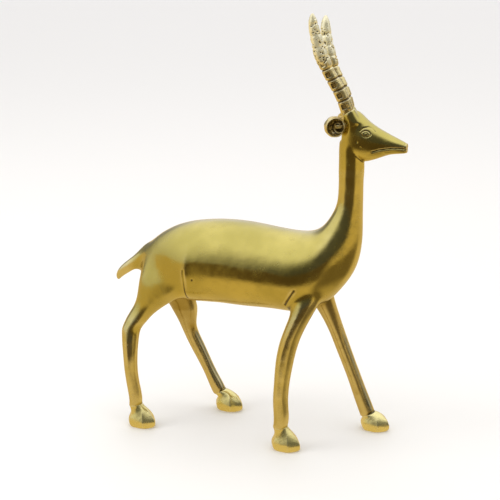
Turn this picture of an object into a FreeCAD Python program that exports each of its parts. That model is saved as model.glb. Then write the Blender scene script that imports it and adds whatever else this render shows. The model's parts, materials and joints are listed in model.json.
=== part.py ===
import FreeCAD, Part
import Sketcher
import math
import os

# A standing antelope statuette in polished brass, as it would come apart on a bench:
# two hollow half shells for trunk and neck, a solid head, two ringed horns on studs,
# two ears, four legs, four hooves and a tail. It faces +X, its left side is +Y and
# its soles rest on Z = 0. The origin is on the ground at the middle of its length.
# Lengths are in millimetres and angles in degrees.

doc = FreeCAD.newDocument("antelope_statuette")
sheet = doc.addObject("Spreadsheet::Sheet", "Dims")
rows_used = 0


def dimensions(**values):
    """Adds driving dimensions to the spreadsheet."""
    global rows_used
    for alias, value in values.items():
        rows_used += 1
        sheet.set(f"A{rows_used}", alias)
        sheet.set(f"B{rows_used}", str(value))
        sheet.setAlias(f"B{rows_used}", alias)


def stations(group, rows):
    """Stores the oval sections of one casting and returns their names, in order.

    Each row is: name, back x, back z, front x, front z, half width, distance from
    the middle plane. The back and front points are the ends of the long axis.
    """
    columns = ("back_x", "back_z", "front_x", "front_z", "half_width", "side")
    names = []
    for name, *values in rows:
        names.append(f"{group}_{name}")
        dimensions(**{f"{group}_{name}_{column}": value for column, value in zip(columns, values)})
    return names


# ---------------------------------------------------------------- driving dimensions

# The cutting room is a box side longer than the whole figure, and the overrun is how far a
# bore starts outside its casting so that it cuts cleanly.
dimensions(
    cutting_room=400.0,
    bore_overrun=1.0,
    shell_wall=3.0,
    neck_joint_z=208.5,
    joint_gap=0.05,
    neck_spigot_radius=4.5,
    neck_spigot_in_neck=14.0,
    neck_spigot_in_head=12.0,
    tenon_radius=3.5,
    tenon_length=16.0,
    tenon_tilt=42.0,
    hip_tenon_x=-67.0,
    hip_tenon_y=22.5,
    hip_tenon_z=103.0,
    shoulder_tenon_x=46.0,
    shoulder_tenon_y=24.0,
    shoulder_tenon_z=102.0,
    hoof_spigot_radius=3.0,
    hoof_spigot_in_hoof=9.0,
    hoof_spigot_in_leg=6.0,
    tail_peg_radius=2.5,
    tail_peg_length=20.0,
    tail_peg_x=-102.0,
    tail_peg_z=126.5,
)

# Trunk and neck, from the rump to the inside of the head.
TRUNK = stations("trunk", [
    ("rump", -92, 136.5, -92, 117.5, 8, 0),
    ("croup", -89, 142, -89, 108.5, 15, 0),
    ("haunch", -81, 149.5, -80, 103, 21, 0),
    ("loin", -66, 159, -66, 101, 25.5, 0),
    ("flank", -48, 165, -48, 101.5, 28, 0),
    ("belly", -25, 168, -25, 102.5, 29, 0),
    ("ribs", 0, 167.5, 0, 102.5, 30, 0),
    ("girth", 22, 165, 22, 103, 30.5, 0),
    ("withers", 40, 164.5, 42, 103.5, 30, 0),
    ("shoulder", 49, 167, 57, 110.5, 27.5, 0),
    ("chest", 56, 172.5, 70, 124, 23, 0),
    ("breast", 61, 180, 79.5, 139.5, 17.5, 0),
    ("throat", 64.5, 188.5, 84, 158.5, 12.5, 0),
    ("neck", 65.7, 198.5, 84.5, 179.5, 9.5, 0),
    ("nape", 65.7, 211.5, 84.5, 201.5, 8.3, 0),
    ("poll", 65.7, 224.5, 84.5, 219.5, 8, 0),
    ("crown", 66.2, 236.5, 86, 234.5, 8.5, 0),
])

HEAD = stations("head", [
    ("back", 68, 236.5, 68, 250.5, 5, 0),
    ("ears", 70, 229.5, 70.5, 255.5, 8, 0),
    ("brain", 75, 224.5, 76, 259, 9.5, 0),
    ("brow", 82.5, 222, 82.5, 256, 10, 0),
    ("eyes", 89.5, 223, 89, 250.5, 9.3, 0),
    ("cheek", 97.5, 226, 97, 245.8, 7.6, 0),
    ("nose", 105.5, 228.7, 105.5, 241.8, 6.2, 0),
    ("lips", 113, 229.9, 113, 238.5, 4.2, 0),
    ("muzzle", 116.8, 231.1, 116.8, 236.7, 2.7, 0),
])

TAIL = stations("tail", [
    ("root", -92, 120.5, -86, 145.5, 6, 0),
    ("dock", -98.5, 120, -95.5, 139.5, 5.5, 0),
    ("middle", -103, 118.3, -104.5, 129.5, 4.6, 0),
    ("bend", -107.5, 115.5, -111, 124, 3.8, 0),
    ("switch", -111.5, 112.5, -116.5, 117, 2.8, 0),
    ("tip", -114.5, 109, -117.3, 111, 1.4, 0),
])

# The thighs and shoulders are the same on both sides. The legs below them differ,
# because the animal walks.
THIGH = stations("thigh", [
    ("lower", -92, 112, -57, 105, 10.5, 20.5),
    ("middle", -90.5, 124, -47.8, 114, 11.5, 17),
    ("upper", -86, 136, -49, 131, 11, 13.5),
])
SHOULDER = stations("shoulder", [
    ("lower", 36, 113, 57, 114, 10, 19),
    ("upper", 38, 126, 60, 127, 9, 15),
])
HIND_RIGHT = stations("hind_right", [
    ("pastern", -95.4, 17, -85, 18.5, 5.3, 27),
    ("cannon", -97.2, 34, -87, 35.5, 5.2, 26.6),
    ("shank", -99.5, 51.7, -88.6, 52.6, 5.5, 26),
    ("below_hock", -100.8, 67.8, -87.9, 67.6, 6.2, 25.3),
    ("hock", -100.5, 83.5, -85.5, 80, 7.2, 24.5),
    ("gaskin", -94, 99, -73.5, 94, 8.8, 23),
])
HIND_LEFT = stations("hind_left", [
    ("pastern", -44.5, 12.2, -35.2, 17, 5.3, 27.5),
    ("cannon", -50.8, 25.8, -42, 30.3, 5.2, 27),
    ("shank", -57.5, 39.8, -48.7, 44.4, 5.3, 26.5),
    ("below_hock", -65.1, 54.5, -55.4, 59.3, 5.7, 25.5),
    ("hock", -70.7, 67.6, -59, 71.1, 6.5, 24.5),
    ("gaskin", -78, 83, -57.5, 86.5, 8.5, 23),
])
FORE_RIGHT = stations("fore_right", [
    ("pastern", 26.2, 17.5, 37.3, 18.5, 5.6, 29.6),
    ("cannon", 25.9, 34.8, 37.5, 35.4, 5.7, 28.8),
    ("knee", 26.2, 53.3, 38, 52.2, 5.9, 27.8),
    ("forearm", 27.5, 72.3, 40.6, 69.8, 6.4, 26.5),
    ("elbow", 31, 89, 44, 84.8, 7, 25),
    ("armpit", 35.8, 104, 50.5, 101, 8, 22.5),
])
FORE_LEFT = stations("fore_left", [
    ("pastern", 79, 10.3, 90, 14.5, 5.6, 29.6),
    ("cannon", 74.3, 22.6, 85.1, 26.7, 5.4, 29.3),
    ("knee", 68.6, 39.3, 78.6, 43.2, 5.3, 28.5),
    ("forearm", 62.1, 56.4, 72.1, 60.5, 5.3, 27.5),
    ("elbow", 55.4, 73.3, 65.8, 77.7, 5.8, 26.5),
    ("armpit", 47.5, 92, 60, 97, 7.2, 23.5),
])

# A hoof's sections, measured from where the leg's own axis would come down to the height
# hoof_axis_z.
dimensions(
    hoof_axis_z=5.0,
    sole_heel=-6.2, sole_toe=12.8, sole_half_width=6.8, sole_heel_z=0.0, sole_toe_z=0.0,
    rim_heel=-8.0, rim_toe=14.8, rim_half_width=8.2, rim_heel_z=3.5, rim_toe_z=3.5,
    wall_heel=-7.4, wall_toe=12.2, wall_half_width=7.4, wall_heel_z=7.0, wall_toe_z=9.5,
)

# A horn stands on its seat and is measured along its own axis from there.
dimensions(
    horn_right_seat_x=72.5,
    horn_left_seat_x=70.0,
    horn_seat_y=5.2,
    horn_seat_z=259.0,
    horn_right_lean=24.0,
    horn_left_lean=22.0,
    horn_splay=7.0,
    horn_boss_height=11.0,
    horn_boss_base_radius=7.0,
    horn_ring_pitch=8.4,
    horn_groove_radius=0.9,
    horn_groove_offset=0.2,
    horn_window_width=3.6,
    horn_window_height=3.8,
    horn_window_depth=1.0,
    horn_right_share=1.0,
    horn_left_share=0.93,
    horn_stud_radius=2.0,
    horn_stud_in_head=8.0,
    horn_stud_in_horn=9.0,
    horn_stud_chamfer=0.4,
)
HORN = [
    # name, height above the seat, forward offset, radius
    ("foot", 0, 0, 5.0),
    ("burr", 4, 0.5, 4.9),
    ("first", 13, 0.8, 4.8),
    ("second", 24, -0.3, 4.6),
    ("third", 33, -1.2, 4.3),
    ("fourth", 42, -1.1, 4.0),
    ("fifth", 50, -0.2, 3.6),
    ("sixth", 58, 1.2, 3.1),
    ("seventh", 66, 3.1, 2.4),
    ("tip", 73.5, 5.6, 0.9),
]
for station_name, height, offset, radius in HORN:
    dimensions(**{
        f"horn_{station_name}_z": height,
        f"horn_{station_name}_x": offset,
        f"horn_{station_name}_r": radius,
    })
RINGS = 7
WINDOWS = 5
RING_MIDDLE = 0.5

# An ear is a round cup, turned outwards, with a peg into the head.
dimensions(
    ear_right_x=65.0,
    ear_left_x=67.5,
    ear_y=11.0,
    ear_z=248.0,
    ear_turn=30.0,
    ear_radius=7.6,
    ear_thickness=7.0,
    ear_rim=1.2,
    ear_bowl_offset=4.2,
    ear_peg_radius=1.5,
    ear_peg_length=14.0,
)
doc.recompute()


# ---------------------------------------------------------------------- construction

def bound(obj, **expressions):
    """Ties properties of an object to the spreadsheet; __ stands for a dot."""
    for path, expression in expressions.items():
        obj.setExpression(path.replace("__", "."), str(expression))
    return obj


def feature(kind, name, **expressions):
    return bound(doc.addObject(kind, name), **expressions)


def tipped(obj, angle):
    """Turns an object about -Y, so that its own X axis tips up from +X."""
    obj.Placement.Rotation = FreeCAD.Rotation(FreeCAD.Vector(0, -1, 0), 1)
    return bound(obj, Placement__Rotation__Angle=angle)


def unit_circle(name):
    """A circle of radius 1 in four arcs, which keeps the corners of lofts in line."""
    circle = Part.Circle(FreeCAD.Vector(), FreeCAD.Vector(0, 0, 1), 1)
    sketch = doc.addObject("Sketcher::SketchObject", name)
    quarters = [
        sketch.addGeometry(Part.ArcOfCircle(circle, math.radians(start), math.radians(start + 90)))
        for start in (0, 90, 180, 270)
    ]
    centre, horizontal_axis, vertical_axis = (-1, 1), -1, -2
    for number, arc in enumerate(quarters):
        following = quarters[(number + 1) % len(quarters)]
        axis = vertical_axis if number % 2 else horizontal_axis
        sketch.addConstraint(Sketcher.Constraint("Coincident", arc, 3, *centre))
        sketch.addConstraint(Sketcher.Constraint("Coincident", arc, 2, following, 1))
        sketch.addConstraint(Sketcher.Constraint("PointOnObject", arc, 1, axis))
    sketch.addConstraint(Sketcher.Constraint("Radius", quarters[0], 1))
    return sketch


def ellipse(name, long_radius, short_radius, x, y, z):
    """An ellipse drawn as the unit circle stretched along its own X and Y."""
    stretched = doc.addObject("Part::Scale", name)
    stretched.Base = unit_round
    stretched.Uniform = False
    stretched.ZScale = 1
    return bound(
        stretched, XScale=long_radius, YScale=short_radius,
        Placement__Base__x=x, Placement__Base__y=y, Placement__Base__z=z,
    )


def oval(name, back, front, half_width, side, inset="0"):
    """An elliptical section whose long axis runs from back (x, z) to front (x, z)."""
    run = f"({front[0]} - ({back[0]}))"
    rise = f"({front[1]} - ({back[1]}))"
    section = ellipse(
        name,
        f"hypot({run}; {rise}) / 2 - {inset}", f"{half_width} - {inset}",
        f"({back[0]} + ({front[0]})) / 2", side, f"({back[1]} + ({front[1]})) / 2",
    )
    return tipped(section, f"atan2({rise}; {run})")


def station_oval(station, sign=1, inset="0"):
    cell = f"Dims.{station}"
    return oval(
        f"section_{station}",
        (f"{cell}_back_x", f"{cell}_back_z"),
        (f"{cell}_front_x", f"{cell}_front_z"),
        f"{cell}_half_width",
        f"{sign} * {cell}_side",
        inset,
    )


def loft(name, sections):
    solid = doc.addObject("Part::Loft", name)
    solid.Sections = sections
    solid.Solid = True
    return solid


def fuse(name, *pieces):
    joined = doc.addObject("Part::MultiFuse", name)
    joined.Shapes = list(pieces)
    return joined


def common(name, *pieces):
    shared = doc.addObject("Part::MultiCommon", name)
    shared.Shapes = list(pieces)
    return shared


def cut(name, base, tool):
    rest = doc.addObject("Part::Cut", name)
    rest.Base = base
    rest.Tool = tool
    return rest


def block(name, low, size):
    """A box from its lowest corner and its size."""
    return feature(
        "Part::Box", name,
        Length=size[0], Width=size[1], Height=size[2],
        Placement__Base__x=low[0], Placement__Base__y=low[1], Placement__Base__z=low[2],
    )


def rod(name, radius, height, x="0", y="0", z="0"):
    return feature(
        "Part::Cylinder", name,
        Radius=radius, Height=height,
        Placement__Base__x=x, Placement__Base__y=y, Placement__Base__z=z,
    )


def neck_spigot(name, gap="0"):
    """The head's spigot, or the bore it sits in when a gap is given."""
    return rod(
        name, f"Dims.neck_spigot_radius + {gap}",
        f"Dims.neck_spigot_in_neck + Dims.neck_spigot_in_head + {gap}",
        "(Dims.trunk_nape_back_x + Dims.trunk_nape_front_x) / 2", "0",
        f"Dims.neck_joint_z - Dims.neck_spigot_in_neck - {gap}",
    )


def leg_tenon(name, joint, sign, gap="0"):
    """A rod from inside the top of a leg, inwards and up through the shell wall."""
    tenon = rod(
        name, f"Dims.tenon_radius + {gap}", f"Dims.tenon_length + {gap}",
        f"Dims.{joint}_tenon_x", f"{sign} * Dims.{joint}_tenon_y", f"Dims.{joint}_tenon_z",
    )
    tenon.Placement.Rotation = FreeCAD.Rotation(FreeCAD.Vector(sign, 0, 0), 1)
    return bound(tenon, Placement__Rotation__Angle="Dims.tenon_tilt")


def tail_peg(name, gap="0"):
    """A rod from the root of the tail into the rump, held between the two shells."""
    peg = rod(
        name, f"Dims.tail_peg_radius + {gap}", f"Dims.tail_peg_length + {gap}",
        "Dims.tail_peg_x", "0", "Dims.tail_peg_z",
    )
    peg.Placement.Rotation = FreeCAD.Rotation(FreeCAD.Vector(0, 1, 0), 90)
    return peg


def pastern_cut(leg_group):
    """Middle of a leg's lower end, and the angle of the cut across it."""
    cell = f"Dims.{leg_group}_pastern"
    middle_x = f"({cell}_back_x + {cell}_front_x) / 2"
    middle_z = f"({cell}_back_z + {cell}_front_z) / 2"
    angle = f"atan2({cell}_front_z - {cell}_back_z; {cell}_front_x - {cell}_back_x)"
    return middle_x, middle_z, angle


def hoof_spigot(name, leg_group, sign, gap="0"):
    """A rod down the middle of a leg, ending inside its hoof."""
    middle_x, middle_z, angle = pastern_cut(leg_group)
    depth = f"(Dims.hoof_spigot_in_hoof + {gap})"
    spigot = rod(
        name, f"Dims.hoof_spigot_radius + {gap}", f"{depth} + Dims.hoof_spigot_in_leg",
        f"{middle_x} + {depth} * sin({angle})",
        f"{sign} * Dims.{leg_group}_pastern_side",
        f"{middle_z} - {depth} * cos({angle})",
    )
    return tipped(spigot, angle)


def leg(label, leg_group, stations_up, joint, sign, trunk):
    """One solid leg, coped to the trunk, with a tenon above and a spigot below."""
    blank = loft(f"{label}_blank", [station_oval(station, sign) for station in stations_up])
    return fuse(
        label,
        cut(f"{label}_coped", blank, trunk),
        leg_tenon(f"{label}_tenon", joint, sign),
        hoof_spigot(f"{label}_spigot", leg_group, sign),
    )


def hoof(label, leg_group, sign):
    """One hoof under its pastern, with a bore for the leg's spigot."""
    middle_x, middle_z, angle = pastern_cut(leg_group)
    foot = f"{middle_x} + ({middle_z} - Dims.hoof_axis_z) * tan({angle})"
    side = f"{sign} * Dims.{leg_group}_pastern_side"
    sections = [
        oval(
            f"{label}_{part}",
            (f"{foot} + Dims.{part}_heel", f"Dims.{part}_heel_z"),
            (f"{foot} + Dims.{part}_toe", f"Dims.{part}_toe_z"),
            f"Dims.{part}_half_width", side,
        )
        for part in ("sole", "rim", "wall")
    ]
    blank = loft(f"{label}_blank", sections + [station_oval(f"{leg_group}_pastern", sign)])
    return cut(label, blank, hoof_spigot(f"{label}_bore", leg_group, sign, "Dims.joint_gap"))


def on_horn_seat(obj, sign, depth="0"):
    """Moves something made about +Z to the left (+1) or right (-1) horn seat."""
    horn_side = "Dims.horn_left" if sign > 0 else "Dims.horn_right"
    return bound(obj, Placement=(
        f"placement(vector({horn_side}_seat_x; {sign} * Dims.horn_seat_y; Dims.horn_seat_z);"
        f" rotation(vector({-sign}; 0; 0); Dims.horn_splay)"
        f" * rotation(vector(0; -1; 0); {horn_side}_lean))"
        f" * placement(vector(0; 0; -({depth})); rotation(vector(0; 0; 1); 0))"
    ))


def horn_at(height):
    """Forward offset and radius of a horn at a height, straight between its stations."""
    below, above = next(
        pair for pair in zip(HORN, HORN[1:]) if pair[0][1] <= height <= pair[1][1]
    )
    share = (height - below[1]) / (above[1] - below[1])
    return [
        f"(Dims.horn_{below[0]}_{axis} * {1 - share} + Dims.horn_{above[0]}_{axis} * {share})"
        for axis in ("x", "r")
    ]


def horn_groove(name, number, share):
    """The round groove above one ring."""
    middle, radius = horn_at(number * sheet.get("horn_ring_pitch"))
    return feature(
        "Part::Torus", name,
        Radius1=f"{radius} + Dims.horn_groove_offset",
        Radius2="Dims.horn_groove_radius",
        Placement__Base__x=middle,
        Placement__Base__z=f"{number} * Dims.horn_ring_pitch * {share}",
    )


def horn_window(name, number, share, face):
    """The sunk window in the side of one ring, on its +Y (1) or -Y (-1) face."""
    middle, radius = horn_at((number + RING_MIDDLE) * sheet.get("horn_ring_pitch"))
    reach = "Dims.horn_foot_r"
    floor = f"({radius} - Dims.horn_window_depth)"
    height = f"({number} + {RING_MIDDLE}) * Dims.horn_ring_pitch * {share}"
    return block(
        name,
        (
            f"{middle} - Dims.horn_window_width / 2",
            floor if face > 0 else f"-{floor} - {reach}",
            f"{height} - Dims.horn_window_height / 2",
        ),
        ("Dims.horn_window_width", reach, "Dims.horn_window_height"),
    )


def horn(label, sign, share):
    """A ringed horn: a tapering loft, grooves between its rings, and sunk windows."""
    sections = [
        ellipse(
            f"{label}_{station}", f"Dims.horn_{station}_r", f"Dims.horn_{station}_r",
            f"Dims.horn_{station}_x", "0", f"Dims.horn_{station}_z * {share}",
        )
        for station, _, _, _ in HORN
    ]
    cuts = [horn_groove(f"{label}_groove_{n}", n, share) for n in range(1, RINGS + 1)]
    cuts += [
        horn_window(f"{label}_window_{n}_{side}", n, share, face)
        for n in range(WINDOWS) for side, face in (("left", 1), ("right", -1))
    ]
    cuts.append(rod(
        f"{label}_bore", "Dims.horn_stud_radius + Dims.joint_gap",
        "Dims.horn_stud_in_horn + Dims.joint_gap + Dims.bore_overrun", z="-Dims.bore_overrun",
    ))
    blank = loft(f"{label}_blank", sections)
    return on_horn_seat(cut(label, blank, fuse(f"{label}_cuts", *cuts)), sign)


def horn_stud(name, sign):
    """A plain rod with chamfered ends, half in the head and half in the horn."""
    body = doc.addObject("PartDesign::Body", name)
    plane = next(item for item in body.Origin.OriginFeatures if item.Role == "XY_Plane")
    profile = body.newObject("Sketcher::SketchObject", f"{name}_profile")
    profile.AttachmentSupport = [(plane, "")]
    profile.MapMode = "FlatFace"
    rim = profile.addGeometry(Part.Circle(FreeCAD.Vector(), FreeCAD.Vector(0, 0, 1), 1))
    profile.addConstraint(Sketcher.Constraint("Coincident", rim, 3, -1, 1))
    size = profile.addConstraint(Sketcher.Constraint("Radius", rim, 1))
    profile.setExpression(f"Constraints[{size}]", "Dims.horn_stud_radius")
    bound(profile, AttachmentOffset__Base__z="-Dims.horn_stud_in_head")
    pad = body.newObject("PartDesign::Pad", f"{name}_rod")
    pad.Profile = profile
    bound(pad, Length="Dims.horn_stud_in_head + Dims.horn_stud_in_horn")
    doc.recompute()
    rims = [f"Edge{n + 1}" for n, edge in enumerate(pad.Shape.Edges) if edge.isClosed()]
    chamfer = body.newObject("PartDesign::Chamfer", f"{name}_ends")
    chamfer.Base = (pad, rims)
    bound(chamfer, Size="Dims.horn_stud_chamfer")
    return on_horn_seat(body, sign)


def stud_socket(name, sign):
    """The hole in the head that a horn's stud goes into."""
    depth = "Dims.horn_stud_in_head + Dims.joint_gap"
    socket = rod(name, "Dims.horn_stud_radius + Dims.joint_gap", f"{depth} + Dims.bore_overrun")
    return on_horn_seat(socket, sign, depth)


def horn_boss(name, sign):
    """The swelling of the skull under a horn, level with the seat."""
    boss = feature(
        "Part::Cone", name,
        Radius1="Dims.horn_boss_base_radius", Radius2="Dims.horn_foot_r",
        Height="Dims.horn_boss_height",
    )
    return on_horn_seat(boss, sign, "Dims.horn_boss_height")


def at_ear(obj, sign, offset=("0", "0", "0"), tilt="0"):
    """Moves something made about the ear's middle to the left (+1) or right (-1) ear."""
    ear_x = "Dims.ear_left_x" if sign > 0 else "Dims.ear_right_x"
    return bound(obj, Placement=(
        f"placement(vector({ear_x}; {sign} * Dims.ear_y; Dims.ear_z);"
        f" rotation(vector(0; 0; 1); {-sign} * Dims.ear_turn))"
        f" * placement(vector({'; '.join(offset)}); rotation(vector(0; 1; 0); {tilt}))"
    ))


def ear_peg(name, sign, gap="0"):
    peg = rod(name, f"Dims.ear_peg_radius + {gap}", f"Dims.ear_peg_length + {gap}")
    return at_ear(peg, sign, tilt="90")


def ear(label, sign, head_blank):
    """A cup sliced from a ball, coped to the head, with a peg into it."""
    ball = at_ear(feature("Part::Sphere", f"{label}_ball", Radius="Dims.ear_radius"), sign)
    slice_box = feature(
        "Part::Box", f"{label}_slice",
        Length="2 * Dims.ear_radius", Width="Dims.ear_thickness", Height="2 * Dims.ear_radius",
    )
    inner_face = "-Dims.ear_thickness / 2"
    at_ear(slice_box, sign, ("-Dims.ear_radius", inner_face, "-Dims.ear_radius"))
    bowl = feature(
        "Part::Sphere", f"{label}_bowl", Radius="Dims.ear_radius - Dims.ear_rim",
    )
    at_ear(bowl, sign, ("0", f"{sign} * Dims.ear_bowl_offset", "0"))
    cup = cut(f"{label}_cup", common(f"{label}_disc", ball, slice_box), bowl)
    return fuse(
        label, cut(f"{label}_coped", cup, head_blank), ear_peg(f"{label}_peg", sign),
    )


def shell(label, sign, trunk_wall):
    """One hollow half of the trunk and neck, with its holes for tenons, spigot and peg."""
    span = "Dims.cutting_room"
    half = block(
        f"{label}_room",
        (f"-{span} / 2", "0" if sign > 0 else f"-{span}", f"Dims.neck_joint_z - {span}"),
        (span, span, span),
    )
    holes = fuse(
        f"{label}_holes",
        leg_tenon(f"{label}_hip_hole", "hip", sign, "Dims.joint_gap"),
        leg_tenon(f"{label}_shoulder_hole", "shoulder", sign, "Dims.joint_gap"),
        neck_spigot(f"{label}_neck_bore", "Dims.joint_gap"),
        tail_peg(f"{label}_tail_hole", "Dims.joint_gap"),
    )
    return cut(label, common(f"{label}_half", trunk_wall, half), holes)


# -------------------------------------------------------------------------- assembly

unit_round = unit_circle("unit_round")
trunk_outside = loft("trunk_outside", [station_oval(station) for station in TRUNK])
hollow_stations = TRUNK[TRUNK.index("trunk_croup"):TRUNK.index("trunk_neck") + 1]
trunk_hollow = loft("trunk_hollow", [
    station_oval(station, inset="Dims.shell_wall") for station in hollow_stations
])
trunk_wall = cut("trunk_wall", trunk_outside, trunk_hollow)

parts = [
    shell("body_shell_left", 1, trunk_wall),
    shell("body_shell_right", -1, trunk_wall),
]

above_joint = block(
    "above_neck_joint",
    ("-Dims.cutting_room / 2", "-Dims.cutting_room / 2", "Dims.neck_joint_z"),
    ("Dims.cutting_room", "Dims.cutting_room", "Dims.cutting_room"),
)
head_blank = fuse(
    "head_blank",
    loft("head_outside", [station_oval(station) for station in HEAD]),
    common("head_neck", trunk_outside, above_joint),
    horn_boss("horn_boss_left", 1),
    horn_boss("horn_boss_right", -1),
)
head_sockets = fuse(
    "head_sockets",
    stud_socket("stud_socket_left", 1),
    stud_socket("stud_socket_right", -1),
    ear_peg("ear_socket_left", 1, "Dims.joint_gap"),
    ear_peg("ear_socket_right", -1, "Dims.joint_gap"),
)
parts.append(cut("head", fuse("head_solid", head_blank, neck_spigot("neck_spigot")), head_sockets))

for side, sign in (("left", 1), ("right", -1)):
    parts.append(horn(f"horn_{side}", sign, f"Dims.horn_{side}_share"))
    parts.append(ear(f"ear_{side}", sign, head_blank))
horn_studs = doc.addObject("Part::Compound", "horn_studs")
horn_studs.Links = [horn_stud("horn_stud_left", 1), horn_stud("horn_stud_right", -1)]
parts.append(horn_studs)

parts.append(fuse(
    "tail",
    cut("tail_coped", loft("tail_blank", [station_oval(station) for station in TAIL]), trunk_outside),
    tail_peg("tail_peg"),
))

for end, side, sign, lower, upper, joint in (
    ("hind", "right", -1, HIND_RIGHT, THIGH, "hip"),
    ("hind", "left", 1, HIND_LEFT, THIGH, "hip"),
    ("fore", "right", -1, FORE_RIGHT, SHOULDER, "shoulder"),
    ("fore", "left", 1, FORE_LEFT, SHOULDER, "shoulder"),
):
    group = f"{end}_{side}"
    parts.append(leg(f"leg_{group}", group, lower + upper, joint, sign, trunk_outside))
    parts.append(hoof(f"hoof_{group}", group, sign))

doc.recompute()

failed = [obj.Name for obj in doc.Objects if {"Invalid", "Error"} & set(obj.State)]
if failed:
    raise RuntimeError(f"these objects did not compute: {failed}")
for part in parts:
    if part.Shape.isNull() or not part.Shape.isValid() or not part.Shape.Solids:
        raise RuntimeError(f"{part.Label} has no valid solid")

os.makedirs("parts", exist_ok=True)
for part in parts:
    part.Shape.exportStep(f"parts/{part.Label}.step")
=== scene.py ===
"""Looks of the brass antelope statuette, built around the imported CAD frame. Metres, +Z up.

The trunk, head, legs and tail are made as one smooth skin, which is then cut into the pieces of
the CAD along its joints. Hooves, horns and ears are finer copies of their own CAD nodes.
"""

import json
import math

import bmesh
import bpy
import numpy as np
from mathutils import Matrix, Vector, noise
from mathutils.bvhtree import BVHTree

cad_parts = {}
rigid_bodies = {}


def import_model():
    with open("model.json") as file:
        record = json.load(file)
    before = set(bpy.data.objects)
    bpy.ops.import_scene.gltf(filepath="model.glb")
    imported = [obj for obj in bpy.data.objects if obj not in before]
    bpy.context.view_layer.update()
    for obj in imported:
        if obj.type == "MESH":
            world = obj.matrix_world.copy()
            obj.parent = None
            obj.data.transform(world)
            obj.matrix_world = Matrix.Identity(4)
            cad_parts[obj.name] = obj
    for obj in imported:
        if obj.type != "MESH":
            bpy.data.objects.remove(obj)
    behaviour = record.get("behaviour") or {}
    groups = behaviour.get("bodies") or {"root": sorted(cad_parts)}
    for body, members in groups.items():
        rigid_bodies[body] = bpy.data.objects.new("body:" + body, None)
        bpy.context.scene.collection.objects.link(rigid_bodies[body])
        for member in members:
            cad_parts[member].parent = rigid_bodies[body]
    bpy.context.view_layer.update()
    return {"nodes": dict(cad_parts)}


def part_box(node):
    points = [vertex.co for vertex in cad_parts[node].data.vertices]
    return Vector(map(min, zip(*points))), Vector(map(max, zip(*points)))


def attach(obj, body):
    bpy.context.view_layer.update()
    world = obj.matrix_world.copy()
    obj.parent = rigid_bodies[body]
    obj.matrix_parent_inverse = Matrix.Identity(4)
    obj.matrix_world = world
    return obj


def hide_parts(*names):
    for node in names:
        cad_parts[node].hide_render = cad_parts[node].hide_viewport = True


MM = 0.001
for leftover in list(bpy.data.objects):
    bpy.data.objects.remove(leftover)
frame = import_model()
NODES = frame["nodes"]

SKIN_VOXEL = 0.7 * MM
HOOF_VOXEL = 0.32 * MM
HORN_VOXEL = 0.22 * MM
EAR_VOXEL = 0.24 * MM

TRUNK = ("body_shell_left", "body_shell_right")
LEGS = ("leg_fore_left", "leg_fore_right", "leg_hind_left", "leg_hind_right")
HOOVES = tuple(leg.replace("leg", "hoof") for leg in LEGS)
HORNS = ("horn_left", "horn_right")
EARS = ("ear_left", "ear_right")

HEAD_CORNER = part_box("head")[1]
NECK_JOINT_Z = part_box("body_shell_left")[1].z
THIGH_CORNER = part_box("leg_hind_right")[1]
BELLY_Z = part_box("body_shell_left")[0].z + 6 * MM

# The angle of the view in the photo, in degrees round from the side towards the head.
VIEW_AZIMUTH = 20.0


def widened(node, margin):
    low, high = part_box(node)
    wide = Vector((margin, margin, margin))
    return low - wide, high + wide


BOXES = {node: widened(node, 12 * MM) for node in LEGS + ("head", "tail")}
BOXES.update({node: widened(node, 4 * MM) for node in HOOVES})


# ------------------------------------------------------------------ mesh tools

# Steps of neighbour averaging: EVEN_OUT removes ripples and keeps the volume, RELAX does not.
EVEN_OUT = (0.5, -0.53)
RELAX = (0.6,)
FAINT = 0.004


def new_object(name, mesh):
    made = bpy.data.objects.new(name, mesh)
    bpy.context.scene.collection.objects.link(made)
    return made


def drop(made):
    mesh = made.data
    bpy.data.objects.remove(made)
    bpy.data.meshes.remove(mesh)


def welded(nodes):
    """One mesh from copies of CAD nodes, each with its doubled vertices welded."""
    total = bmesh.new()
    for node in nodes:
        part = bmesh.new()
        part.from_mesh(NODES[node].data)
        bmesh.ops.remove_doubles(part, verts=part.verts, dist=1e-3 * MM)
        held = bpy.data.meshes.new("held")
        part.to_mesh(held)
        part.free()
        total.from_mesh(held)
        bpy.data.meshes.remove(held)
    mesh = bpy.data.meshes.new("welded")
    total.to_mesh(mesh)
    total.free()
    return mesh


def remeshed(mesh, voxel):
    """The outermost closed surface of a mesh, rebuilt in even quads."""
    temp = new_object("temp", mesh)
    modifier = temp.modifiers.new("remesh", "REMESH")
    modifier.mode = "VOXEL"
    modifier.voxel_size = voxel
    modifier.adaptivity = 0.0
    depsgraph = bpy.context.evaluated_depsgraph_get()
    result = bpy.data.meshes.new_from_object(temp.evaluated_get(depsgraph))
    drop(temp)
    return keep_outermost(result)


def coordinates(mesh):
    co = np.empty(len(mesh.vertices) * 3)
    mesh.vertices.foreach_get("co", co)
    return co.reshape(-1, 3)


def edge_ends(mesh):
    ends = np.empty(len(mesh.edges) * 2, np.int32)
    mesh.edges.foreach_get("vertices", ends)
    return ends.reshape(-1, 2)


def vertex_normals(mesh):
    normals = np.empty(len(mesh.vertices) * 3, np.float32)
    mesh.vertex_normals.foreach_get("vector", normals)
    return normals.reshape(-1, 3).astype(float)


def place(mesh, co):
    mesh.vertices.foreach_set("co", np.ascontiguousarray(co, np.float32).ravel())
    mesh.update()


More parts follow.
